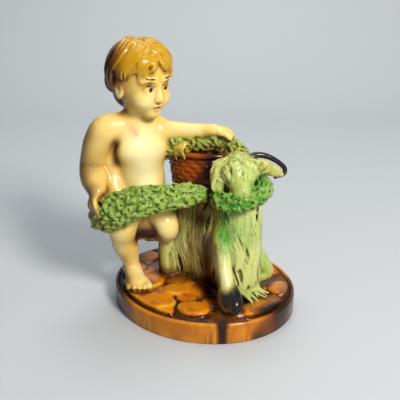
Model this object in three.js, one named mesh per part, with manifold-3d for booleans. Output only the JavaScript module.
// A glazed earthenware figurine, cast in one piece: a boy half kneeling on the hindquarters of a
// long-haired goat, a leafy garland in his hands, a woven basket of leaves on the goat's back, and
// an oval base laid with cobbles. Millimetres, +Z up. The origin is the middle of the underside,
// and +X is the way the goat faces.
import * as THREE from 'three';
import { mergeVertices } from 'three/addons/utils/BufferGeometryUtils.js';
import Module from 'manifold-3d';

// Oval base: a low wall with a rounded rim, a groove inside it and a bed of cobbles that rises a little
const BASE_LENGTH = 150;
const BASE_WIDTH = 132;
const BASE_HEIGHT = 16.8;
const EDGE_ROUND = 1.5;
const RIM_WIDTH = 3.6;
const GROOVE_WIDTH = 2.4;
const GROOVE_DEPTH = 1.6;
const GROUND = 18.5;
const BASE_STEPS = 32;
const COBBLE_SIZE = [12.5, 9.5, 3.4];
const COBBLE_SINK = 0.8;
const COBBLE_SPREAD = { size: 0.16, turn: 0.3, rise: 0.6 };
const COBBLE_RINGS = [{ reach: 0.81, count: 12 }, { reach: 0.54, count: 6 }];

// Boy: places along each limb and the radius there, and which way lies across the bend of each limb
const TORSO = [[-50, -14, 72, 13], [-48.5, -15.5, 85, 19.5], [-46, -17.5, 98, 18.8], [-45, -19, 110, 18],
  [-44.5, -20, 122, 19], [-46, -20.5, 134, 19.5], [-46, -21.5, 150, 13]];
const TORSO_DEPTH = 0.78;
const SHOULDER_LINE = [0.56, 0.83, 0];
const NECK = [[-46, -20.5, 141, 11], [-44, -22.5, 153, 9.8], [-41, -23.5, 168, 9.8]];
const RIGHT_ARM = [[-50, -27, 145, 10], [-60, -40, 144, 11.5], [-66.5, -43, 134, 11],
  [-71.5, -42.5, 122, 10.5], [-73.5, -42, 112.5, 10.8], [-68.5, -48, 107, 10.4], [-62, -54.5, 104, 8.4],
  [-54.5, -61, 99, 7]];
const RIGHT_ARM_ACROSS = [-0.35, -0.74, 0.58];
const ARM_WEB = [[-59, -33, 138, 7], [-62, -33, 122, 8], [-63, -32, 108, 8], [-61, -32, 96, 6]];
const LEFT_ARM = [[-41, -13, 138, 10.5], [-35, -9, 138, 10], [-24, -5, 138, 8.2],
  [-13, -1.5, 137.5, 7.4], [-3, 1.5, 138.5, 6], [7, 4.6, 140, 5.4]];
const RIGHT_LEG = [[-54, -17, 83, 14.5], [-49, -33, 82, 14.5], [-43.5, -45.5, 78, 12.8],
  [-43.5, -47.5, 71, 11.2], [-46.5, -43.5, 62, 10.2], [-48.5, -38.5, 52, 10.2], [-49.5, -33.5, 41, 8],
  [-51, -29, 26, 7]];
const RIGHT_LEG_ACROSS = [0.94, 0.33, 0];
const LEFT_LEG = [[-46, -9, 80, 14.5], [-35, -17, 78, 13], [-26, -23, 74, 10.8], [-22, -24.5, 68, 9.2],
  [-25, -20, 61.5, 8.6], [-33, -13.5, 56.5, 8.4], [-43, -8, 51, 6.4], [-51, -5, 46.5, 5.8]];
const LEFT_LEG_ACROSS = [0.55, 0.84, 0];
const THIGH_WEB = [[-47, -33, 73, 9], [-38, -24, 69, 9]];
const FEET = [
  { heel: [-53, -27.5, 23.6], heading: -0.68, pitch: 0 },
  { heel: [-46, -7, 49], heading: 2.75, pitch: -0.25 },
];
const FOOT_LENGTH = 29;
const FOOT_WIDTH = 16;
const FOOT_THICKNESS = 0.74;
const INSTEP = [[-3, 1, 6], [6, 3, 7], [15, 0, 7.4], [24, -2.5, 8]];
const TOE_RADII = [3.3, 2.5, 2.4, 2.3, 2.2];
const TOE_PITCH = 2.9;
const TOE_LENGTH = 10;
const SOLE_DROP = 5.1;
const TOE_BACK = 0.32;
const HANDS = [
  {
    wrist: [-56, -60, 100], knuckles: [-57, -63.5, 94], ahead: [3, -2, -3], curl: [3, -0.5, -4],
    across: [0.7, -0.45, 0.55],
  },
  {
    wrist: [3, 3.5, 139.5], knuckles: [11, 6.5, 139.5], ahead: [4, 1.5, -0.5], curl: [3, 1, -3],
    across: [-0.35, 0.94, 0],
  },
];
const PALM_RADIUS = 6.2;
const PALM_THICKNESS = 0.62;
const FINGER_RADIUS = 2.4;
const FINGER_PITCH = 3.6;

// Boy's head, measured ahead, to the left and up from its middle
const HEAD = { at: [-38.6, -22.8, 178.8], nod: 0.14, turn: -0.28 };
const SKULL = { lift: 4, size: [20.5, 19, 23.5] };
const FACE = [[1, 0, 10, 18], [3.5, 0, -6, 16.4], [8, 0, -24.6, 10]];
const NOSE = [[18.5, 0, 2, 1.8], [20, 0, -4, 2.4], [20.8, 0, -9.4, 2.8]];
const EAR = [[-2, 18, 1, 3.4], [-2.5, 19.5, -5, 3.4], [-2, 18, -10.5, 2.2]];
const HAIR = [[2, 0, 31, 13], [-1, 0, 20, 22], [-3.5, 0, 8, 24.2], [-6, 0, -6, 22], [-8, 0, -21, 14]];
const HAIR_LOCKS = 8;
const HAIR_DEPTH = 0.06;

// Goat: places along the body, the head and the legs, and the radius there
const TRUNK = [[-45, 13.5, 53.5, 16], [-27, 13.5, 54, 20.4], [0, 11, 53.5, 18.6], [24, 5, 54, 16]];
const TRUNK_TALL = 1.69;
const SKIRT = [[-45, 13.5, 25.5, 14.6], [-27, 13.5, 25.5, 18.2], [0, 11, 25.5, 16.8], [24, 5, 25.5, 14.6]];
const SKIRT_TALL = 0.6;
const CHEST = [[26.5, 3.5, 23, 16.5], [28.5, 3, 58, 17], [27, 4, 94, 14.5]];
const NECK_WOOL = [[21, 8, 78, 13.5], [24, 6, 92, 12.6], [23, 6, 106, 12]];
const GOAT_HEAD = [[20, 6, 100, 12], [24, 4, 113, 13], [30, -1, 118, 12.6], [36, -9, 113, 10.2],
  [41, -16.5, 105.5, 8], [45, -22.5, 98.5, 6.6]];
const FACE_ACROSS = [0.82, 0.58, 0];
const NEAR_EAR = [[24, -6, 126.5, 4], [19.5, -12, 122.5, 6], [20.5, -17.5, 116, 6.4], [25, -20.5, 106, 4]];
const FAR_EAR = [[37, -2, 121, 4], [44, 3.5, 120.5, 5.6], [50, 8, 118, 5.6], [59, 14.5, 113, 3.4]];
const EAR_THICKNESS = 0.5;
const HORN = [[34, 1, 124, 3.4], [41.5, 7, 127.6, 2.7], [48, 12, 126, 2.4], [54, 16, 122, 2.2],
  [58.5, 18.8, 117, 2.1], [58.5, 17.5, 112.8, 1.9], [53, 12.5, 110, 1.6]];
const HORN_ACROSS = [0.52, -0.85, 0];
const NEAR_FORELEG = [[24, -6, 76, 9.4], [24, -13, 62, 9], [28.5, -20, 48, 7.6], [34, -25.5, 38, 6.6],
  [38.5, -29, 30, 6.2]];
const CLAWS = [[[35.5, -26.5, 34, 6], [38, -31.5, 28, 6.4], [40.5, -35, 24.5, 6.2], [43, -39.5, 21, 4.6]],
  [[39, -25.5, 34, 6], [44, -30, 28, 6.2], [47.5, -34, 24.5, 6], [48.5, -39, 21, 4.6]]];
const FAR_FORELEG = [[34, 9, 60, 10], [39, 14, 44, 8.4], [46.5, 20.5, 28, 7.2], [40, 14, 25, 6.6],
  [28, 5, 25, 6.5]];
const HIND_LEG = [[-28, -2.2, 62, 10], [-30.2, -4.3, 42, 8.4], [-31.2, -4.9, 26, 8], [-31.4, -5, 15.5, 8]];
const FAR_LEG_ACROSS = [0.68, -0.73, 0];
const TAIL = [[-38, 13, 80, 5], [-46, 14, 79, 5], [-50.5, 14.5, 69, 3.2]];
const FLEECE_RINGS = 13;
const FLEECE_SIDES = 16;
const FLEECE_DEPTH = 0.05;

// Basket on the goat's back: its foot and its wall as shares of the half width at the rim
const BASKET = { at: [-10, 12], foot: 84, rim: 125, half: [27.5, 19.5] };
const BASKET_FOOT_SHARE = 0.82;
const BASKET_FLARE = 0.17;
const WEAVE_ROWS = 5;
const WEAVE_STEP = 0.04;
const WEAVE_SHARE = 0.93;
const RIM_ROLL = [[1.05, 0.94], [1.07, 0.97], [1.04, 1]];
const BASKET_STEPS = 20;

// Garlands of leaves
const NEAR_GARLAND = [[10, -19, 99.5, 8], [2, -29, 100, 9], [-8, -42, 100, 9.4], [-24, -54, 97.5, 11.8],
  [-40, -58, 89, 14.2], [-53, -55.5, 80.5, 12], [-60.5, -50, 75, 9]];
const FAR_GARLAND = [[-34, -9, 122, 5], [-26, -8, 126, 6.4], [-16, -2, 128.5, 8], [-5, 4, 129.5, 9],
  [6, 8, 130, 9], [15, 10, 129, 7.6], [22, 13, 123, 7], [30, 15, 115, 7], [37, 14, 105.5, 7.2]];
const LEAF_HEAP = [[-28, 13, 120.5, 8.5], [-10, 21, 123.5, 9.4], [10, 20, 122, 8.5]];
const NEAR_WREATH = [[13, -4, 98, 5.6], [22, -13, 98.5, 6.2], [32, -23, 99, 7], [43, -19, 99.5, 7.2],
  [49.5, -6, 101, 7], [49, 6, 105, 6.4]];
const FAR_WREATH = [[51, -2, 103, 6.2], [44, 11, 106, 6], [34, 15, 105, 6], [24, 16, 102, 5.8],
  [14, 9, 99, 5.6], [15, -5, 98.5, 5.4]];
const LEAF_LENGTH = 8.6;
const LEAVES_AROUND = 10;
const LEAF_LIFT = 0.12;
const LEAF_SPREAD = 0.05;

// Points closer than this are one point
const WELD = 1e-4;

const wasm = await Module();
wasm.setup();

// One vertex where the faces of a geometry meet
function welded(geometry) {
  geometry.deleteAttribute('normal');
  geometry.deleteAttribute('uv');
  return mergeVertices(geometry, WELD);
}

function asSolid(geometry) {
  const merged = welded(geometry);
  return new wasm.Manifold(new wasm.Mesh({
    numProp: 3,
    vertProperties: new Float32Array(merged.attributes.position.array),
    triVerts: new Uint32Array(merged.index.array),
  }));
}

function joined(solids) {
  let queue = solids;
  while (queue.length > 1) {
    const next = [];
    for (let i = 0; i < queue.length; i += 2) {
      next.push(i + 1 < queue.length ? queue[i].add(queue[i + 1]) : queue[i]);
    }
    queue = next;
  }
  return queue[0];
}

// A steady, repeatable spread between -1 and 1
function drift(n) {
  const wave = Math.sin(n * 12.9898 + 4.1) * 43758.5453;
  return 2 * (wave - Math.floor(wave)) - 1;
}

// A sphere drawn out along a smooth curve. Stations are [x, y, z, radius]; across points along the
// wide side of its section, flat is the thickness of the section over its width, and relief gives
// how much the surface stands out at a place along the curve and a turn around it.
function drawnOut(stations, options = {}) {
  const { sides = 10, rings = 8, across = [0, 0, 1], flat = 1, blunt = 6, relief = () => 1 } = options;
  const path = new THREE.CatmullRomCurve3(stations.map(([x, y, z]) => new THREE.Vector3(x, y, z)));
  const last = stations.length - 1;
  const radiusAt = (t) => {
    const i = Math.min(Math.floor(t * last), last - 1);
    const blend = THREE.MathUtils.smoothstep(t * last - i, 0, 1);
    return THREE.MathUtils.lerp(stations[i][3], stations[i + 1][3], blend);
  };
  const geometry = welded(new THREE.SphereGeometry(1, sides, rings));
  const position = geometry.attributes.position;
  const wide = new THREE.Vector3(...across).normalize();
  for (let i = 0; i < position.count; i += 1) {
    const x = position.getX(i);
    const z = position.getZ(i);
    const t = THREE.MathUtils.clamp((1 - position.getY(i)) / 2, 0, 1);
    const ring = Math.hypot(x, z) || 1;
    const swell = Math.pow(Math.max(0, 1 - Math.pow(Math.abs(2 * t - 1), blunt)), 0.5);
    const along = path.getTangent(t);
    const side = wide.clone().addScaledVector(along, -wide.dot(along)).normalize();
    const other = along.clone().cross(side);
    const radius = radiusAt(t) * swell * relief(t, Math.atan2(z, x));
    const point = path.getPoint(t)
      .addScaledVector(side, (radius * x) / ring)
      .addScaledVector(other, (radius * flat * z) / ring);
    position.setXYZ(i, point.x, point.y, point.z);
  }
  return asSolid(geometry);
}

function ball(at, size, sides = 12, rings = 8) {
  const geometry = new THREE.SphereGeometry(1, sides, rings);
  geometry.scale(...size);
  geometry.translate(...at);
  return asSolid(geometry);
}

// The oval base: a turned profile with a moulded rim and a groove, drawn out to an oval
function ovalBase() {
  const half = BASE_LENGTH / 2;
  const groove = half - RIM_WIDTH;
  const profile = [
    [0, 0], [half - EDGE_ROUND, 0], [half, EDGE_ROUND], [half, BASE_HEIGHT - EDGE_ROUND],
    [half - EDGE_ROUND, BASE_HEIGHT], [groove, BASE_HEIGHT],
    [groove - GROOVE_WIDTH / 3, BASE_HEIGHT - GROOVE_DEPTH], [groove - GROOVE_WIDTH, BASE_HEIGHT],
    [half / 2, GROUND], [0, GROUND],
  ].map(([r, z]) => new THREE.Vector2(r, z));
  const geometry = new THREE.LatheGeometry(profile, BASE_STEPS);
  geometry.rotateX(Math.PI / 2);
  geometry.scale(1, BASE_WIDTH / BASE_LENGTH, 1);
  return asSolid(geometry);
}

// Flat stones in rings, each a little different in size, turn and height
function cobbles() {
  const stones = [];
  for (const { reach, count } of COBBLE_RINGS) {
    for (let k = 0; k < count; k += 1) {
      const turn = (2 * Math.PI * k) / count + reach;
      const grow = 1 + COBBLE_SPREAD.size * drift(k + count);
      const stone = new THREE.SphereGeometry(1, 6, 4);
      stone.rotateX(Math.PI / 2);
      stone.scale(COBBLE_SIZE[0] * grow, COBBLE_SIZE[1] * grow, COBBLE_SIZE[2]);
      stone.rotateZ(turn + Math.PI / 2 + COBBLE_SPREAD.turn * drift(3 * k + count));
      stone.translate(
        (reach * BASE_LENGTH * Math.cos(turn)) / 2,
        (reach * BASE_WIDTH * Math.sin(turn)) / 2,
        GROUND - COBBLE_SINK + COBBLE_SPREAD.rise * drift(7 * k + count),
      );
      stones.push(asSolid(stone));
    }
  }
  return joined(stones);
}

// A foot: a wedge from heel to ball, with five toes. Its heel and the way it points are given.
function foot({ heel, heading, pitch }) {
  const ahead = new THREE.Vector3(Math.cos(heading), Math.sin(heading), pitch).normalize();
  const across = new THREE.Vector3(-Math.sin(heading), Math.cos(heading), 0);
  const along = (length, sideways, rise, radius) => {
    const point = new THREE.Vector3(...heel).addScaledVector(ahead, length).addScaledVector(across, sideways);
    return [point.x, point.y, point.z + rise, radius];
  };
  const wedge = INSTEP.map(([length, rise, radius]) => along(length, 0, rise, radius));
  const solids = [drawnOut(wedge, { across: across.toArray(), flat: FOOT_THICKNESS, sides: 8, rings: 6 })];
  TOE_RADII.forEach((radius, k) => {
    const sideways = FOOT_WIDTH / 2 - TOE_RADII[0] / 2 - TOE_PITCH * k;
    const reach = FOOT_LENGTH - TOE_BACK * k * k;
    solids.push(drawnOut([along(reach - TOE_LENGTH, sideways, radius - SOLE_DROP + 1, radius),
      along(reach, sideways, radius - SOLE_DROP, radius)], { sides: 5, rings: 3, blunt: 4 }));
  });
  return joined(solids);
}

// A hand: a flattened palm and four fingers that run ahead and then curl over what it holds
function hand({ wrist, knuckles, ahead, curl, across }) {
  const spread = new THREE.Vector3(...across).normalize();
  const palm = [[...wrist, PALM_RADIUS], [...knuckles, PALM_RADIUS]];
  const solids = [drawnOut(palm, { across, flat: PALM_THICKNESS, rings: 5 })];
  for (let k = 0; k < 4; k += 1) {
    const root = new THREE.Vector3(...knuckles).addScaledVector(spread, (k - 1.5) * FINGER_PITCH);
    const bend = root.clone().add(new THREE.Vector3(...ahead));
    const tip = bend.clone().add(new THREE.Vector3(...curl));
    const finger = [root, bend, tip].map((point) => [...point, FINGER_RADIUS]);
    solids.push(drawnOut(finger, { across, sides: 5, rings: 4, blunt: 4 }));
  }
  return joined(solids);
}

// Head: skull, plain face, ears, and a cap of hair whose locks stand out all round
function head() {
  const middle = new THREE.Vector3(...HEAD.at);
  const facing = new THREE.Euler(0, HEAD.nod, HEAD.turn, 'ZYX');
  const set = (points) => points.map(([ahead, left, up, radius]) => [
    ...new THREE.Vector3(ahead, left, up).applyEuler(facing).add(middle), radius]);
  const mirrored = (points) => points.map(([ahead, left, up, radius]) => [ahead, -left, up, radius]);
  const locks = (t, turn) => ridged(turn / (2 * Math.PI), 2 * HAIR_LOCKS, HAIR_DEPTH * Math.sin(Math.PI * t));
  const across = new THREE.Vector3(0, 1, 0).applyEuler(facing).toArray();
  return joined([
    ball([HEAD.at[0], HEAD.at[1], HEAD.at[2] + SKULL.lift], SKULL.size, 10, 7),
    drawnOut(set(FACE), { across, sides: 12, blunt: 4 }),
    drawnOut(set(NOSE), { across, sides: 6, rings: 4 }),
    drawnOut(set(EAR), { across, sides: 6, rings: 4 }),
    drawnOut(set(mirrored(EAR)), { across, sides: 6, rings: 4 }),
    drawnOut(set(HAIR), { across, sides: 2 * HAIR_LOCKS, blunt: 3, relief: locks }),
  ]);
}

function boy() {
  return joined([
    drawnOut(TORSO, { across: SHOULDER_LINE, flat: TORSO_DEPTH, sides: 12, rings: 10 }),
    drawnOut(NECK, { across: SHOULDER_LINE, rings: 4 }),
    drawnOut(ARM_WEB, { across: SHOULDER_LINE, sides: 7, rings: 5 }),
    drawnOut(THIGH_WEB, { sides: 7, rings: 4 }),
    drawnOut(RIGHT_ARM, { across: RIGHT_ARM_ACROSS, sides: 9, rings: 13 }),
    drawnOut(LEFT_ARM, { sides: 8, rings: 9 }),
    drawnOut(RIGHT_LEG, { across: RIGHT_LEG_ACROSS, sides: 9, rings: 12 }),
    drawnOut(LEFT_LEG, { across: LEFT_LEG_ACROSS, sides: 9, rings: 12 }),
    ...FEET.map(foot),
    ...HANDS.map(hand),
    head(),
  ]);
}

// How a ring or a side of a drawn out form stands out, every other one
function ridged(place, count, depth) {
  return 1 + depth * (Math.round(place * count) % 2 === 0 ? 1 : -1);
}

function ringPlace(t) {
  return Math.acos(1 - 2 * t) / Math.PI;
}

function goat() {
  const ribs = (t) => ridged(ringPlace(t), FLEECE_RINGS, FLEECE_DEPTH);
  const locks = (t, turn) => ridged(turn / (2 * Math.PI), FLEECE_SIDES, FLEECE_DEPTH);
  const sideways = [0, 1, 0];
  const level = { across: sideways, rings: FLEECE_RINGS, relief: ribs };
  const ear = { flat: EAR_THICKNESS, sides: 8, rings: 7, blunt: 4 };
  return joined([
    drawnOut(TRUNK, { ...level, flat: TRUNK_TALL, sides: 12 }),
    drawnOut(SKIRT, { ...level, flat: SKIRT_TALL, sides: 10 }),
    drawnOut(CHEST, { across: sideways, sides: FLEECE_SIDES, rings: 6, relief: locks }),
    drawnOut(NECK_WOOL, { across: sideways, sides: 12, rings: 5 }),
    drawnOut(GOAT_HEAD, { across: FACE_ACROSS, sides: 10, rings: 9 }),
    drawnOut(NEAR_EAR, { ...ear, across: [0.55, -0.65, 0.3] }),
    drawnOut(FAR_EAR, { ...ear, across: [-0.2, -0.2, 1] }),
    drawnOut(HORN, { across: HORN_ACROSS, sides: 5, rings: 13 }),
    drawnOut(NEAR_FORELEG, { across: FACE_ACROSS, sides: 8, rings: 7 }),
    ...CLAWS.map((claw) => drawnOut(claw, { across: FACE_ACROSS, sides: 7, rings: 5 })),
    drawnOut(FAR_FORELEG, { across: FAR_LEG_ACROSS, sides: 8, rings: 10 }),
    drawnOut(HIND_LEG, { across: sideways, sides: 8, rings: 5 }),
    drawnOut(TAIL, { across: sideways, sides: 7, rings: 6 }),
  ]);
}

// The basket: an oval wall that widens upward, its rows of weave standing out, under a rolled rim
function basket() {
  const profile = [[0, 0]];
  for (let row = 0; row < WEAVE_ROWS; row += 1) {
    for (const [rise, out] of [[0.1, 0], [0.55, WEAVE_STEP]]) {
      const t = (row + rise) / WEAVE_ROWS;
      profile.push([BASKET_FOOT_SHARE + BASKET_FLARE * t + out, t * WEAVE_SHARE]);
    }
  }
  profile.push(...RIM_ROLL, [0, 1]);
  const geometry = new THREE.LatheGeometry(profile.map(([r, z]) => new THREE.Vector2(r, z)), BASKET_STEPS);
  geometry.rotateX(Math.PI / 2);
  geometry.scale(...BASKET.half, BASKET.rim - BASKET.foot);
  geometry.translate(...BASKET.at, BASKET.foot);
  return asSolid(geometry);
}

// A garland: a rounded bundle whose short pointed leaves stand out in staggered rows
function garland(stations, seed) {
  const path = new THREE.CatmullRomCurve3(stations.map(([x, y, z]) => new THREE.Vector3(x, y, z)));
  const rows = Math.round(path.getLength() / LEAF_LENGTH);
  const leaves = (t, turn) => {
    const row = Math.round(ringPlace(t) * rows);
    const place = Math.round((turn / (2 * Math.PI)) * LEAVES_AROUND) + seed;
    return 1 + LEAF_LIFT * ((row + place) % 2 === 0 ? 1 : -1) + LEAF_SPREAD * drift(row * 17 + place);
  };
  return drawnOut(stations, { sides: LEAVES_AROUND, rings: rows, blunt: 4, relief: leaves });
}

// The surface that encloses the most, without the small sealed pockets that joined forms leave inside
function outerSurface({ vertProperties, triVerts }) {
  const owner = Int32Array.from({ length: vertProperties.length / 3 }, (_, i) => i);
  const root = (i) => {
    let at = i;
    while (owner[at] !== at) {
      owner[at] = owner[owner[at]];
      at = owner[at];
    }
    return at;
  };
  for (let i = 0; i < triVerts.length; i += 3) {
    owner[root(triVerts[i + 1])] = root(triVerts[i]);
    owner[root(triVerts[i + 2])] = root(triVerts[i]);
  }
  const counts = new Map();
  for (let i = 0; i < triVerts.length; i += 3) {
    counts.set(root(triVerts[i]), (counts.get(root(triVerts[i])) ?? 0) + 1);
  }
  const [largest] = [...counts].sort((a, b) => b[1] - a[1])[0];
  return triVerts.filter((_, i) => root(triVerts[i - (i % 3)]) === largest);
}

function figurine() {
  const solid = joined([
    ovalBase(), cobbles(), goat(), basket(), boy(),
    garland(NEAR_GARLAND, 1), garland(FAR_GARLAND, 21), garland(LEAF_HEAP, 33), garland(NEAR_WREATH, 47),
    garland(FAR_WREATH, 59),
  ]);
  const surface = solid.getMesh();
  const geometry = new THREE.BufferGeometry();
  geometry.setAttribute('position', new THREE.BufferAttribute(surface.vertProperties, 3));
  geometry.setIndex(new THREE.BufferAttribute(outerSurface(surface), 1));
  geometry.computeVertexNormals();
  const glaze = new THREE.MeshStandardMaterial({ color: 0xc9a45a, roughness: 0.2, metalness: 0 });
  const mesh = new THREE.Mesh(geometry, glaze);
  mesh.name = 'figurine';
  return mesh;
}

const model = new THREE.Group();
model.add(figurine());
export default model;
